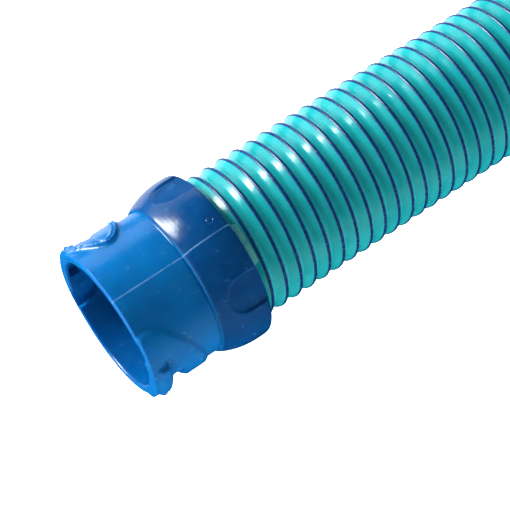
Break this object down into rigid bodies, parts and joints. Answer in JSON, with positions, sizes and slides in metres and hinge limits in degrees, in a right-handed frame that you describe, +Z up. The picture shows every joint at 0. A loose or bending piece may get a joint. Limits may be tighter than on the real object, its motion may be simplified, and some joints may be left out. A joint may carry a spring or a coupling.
{
  "type": "bayonet suction hose section",
  "caption": "Straight ribbed suction hose section for a pool cleaner, with a moulded bayonet socket cuff on one end and a matching spigot cuff on the other.",
  "frame": {"origin": "middle of the section's length, on the surface that it lies on", "axes": "+X along the hose from the socket's mouth to the spigot's tip, +Z up, +Y across"},
  "size_m": [1, 0.0546, 0.0545],
  "materials": {
    "turquoise_hose": "glossy flexible hose strip, slightly translucent, wound edge to edge",
    "navy_rib": "glossy dark blue bead, stiffer than the strip between its turns",
    "blue_cuff": "glossy translucent blue moulding with parting lines and a faintly blotchy skin",
    "pale_bond": "pale grey-green hardened bonding compound",
    "black_seal": "soft black rubber"
  },
  "bodies": {
    "root": {"hose_wall": "turquoise_hose", "rib_coil": "navy_rib", "socket_cuff": "blue_cuff", "socket_bond_ring": "pale_bond", "spigot_cuff": "blue_cuff", "spigot_bond_ring": "pale_bond", "spigot_seal": "black_seal"}
  },
  "joints": []
}
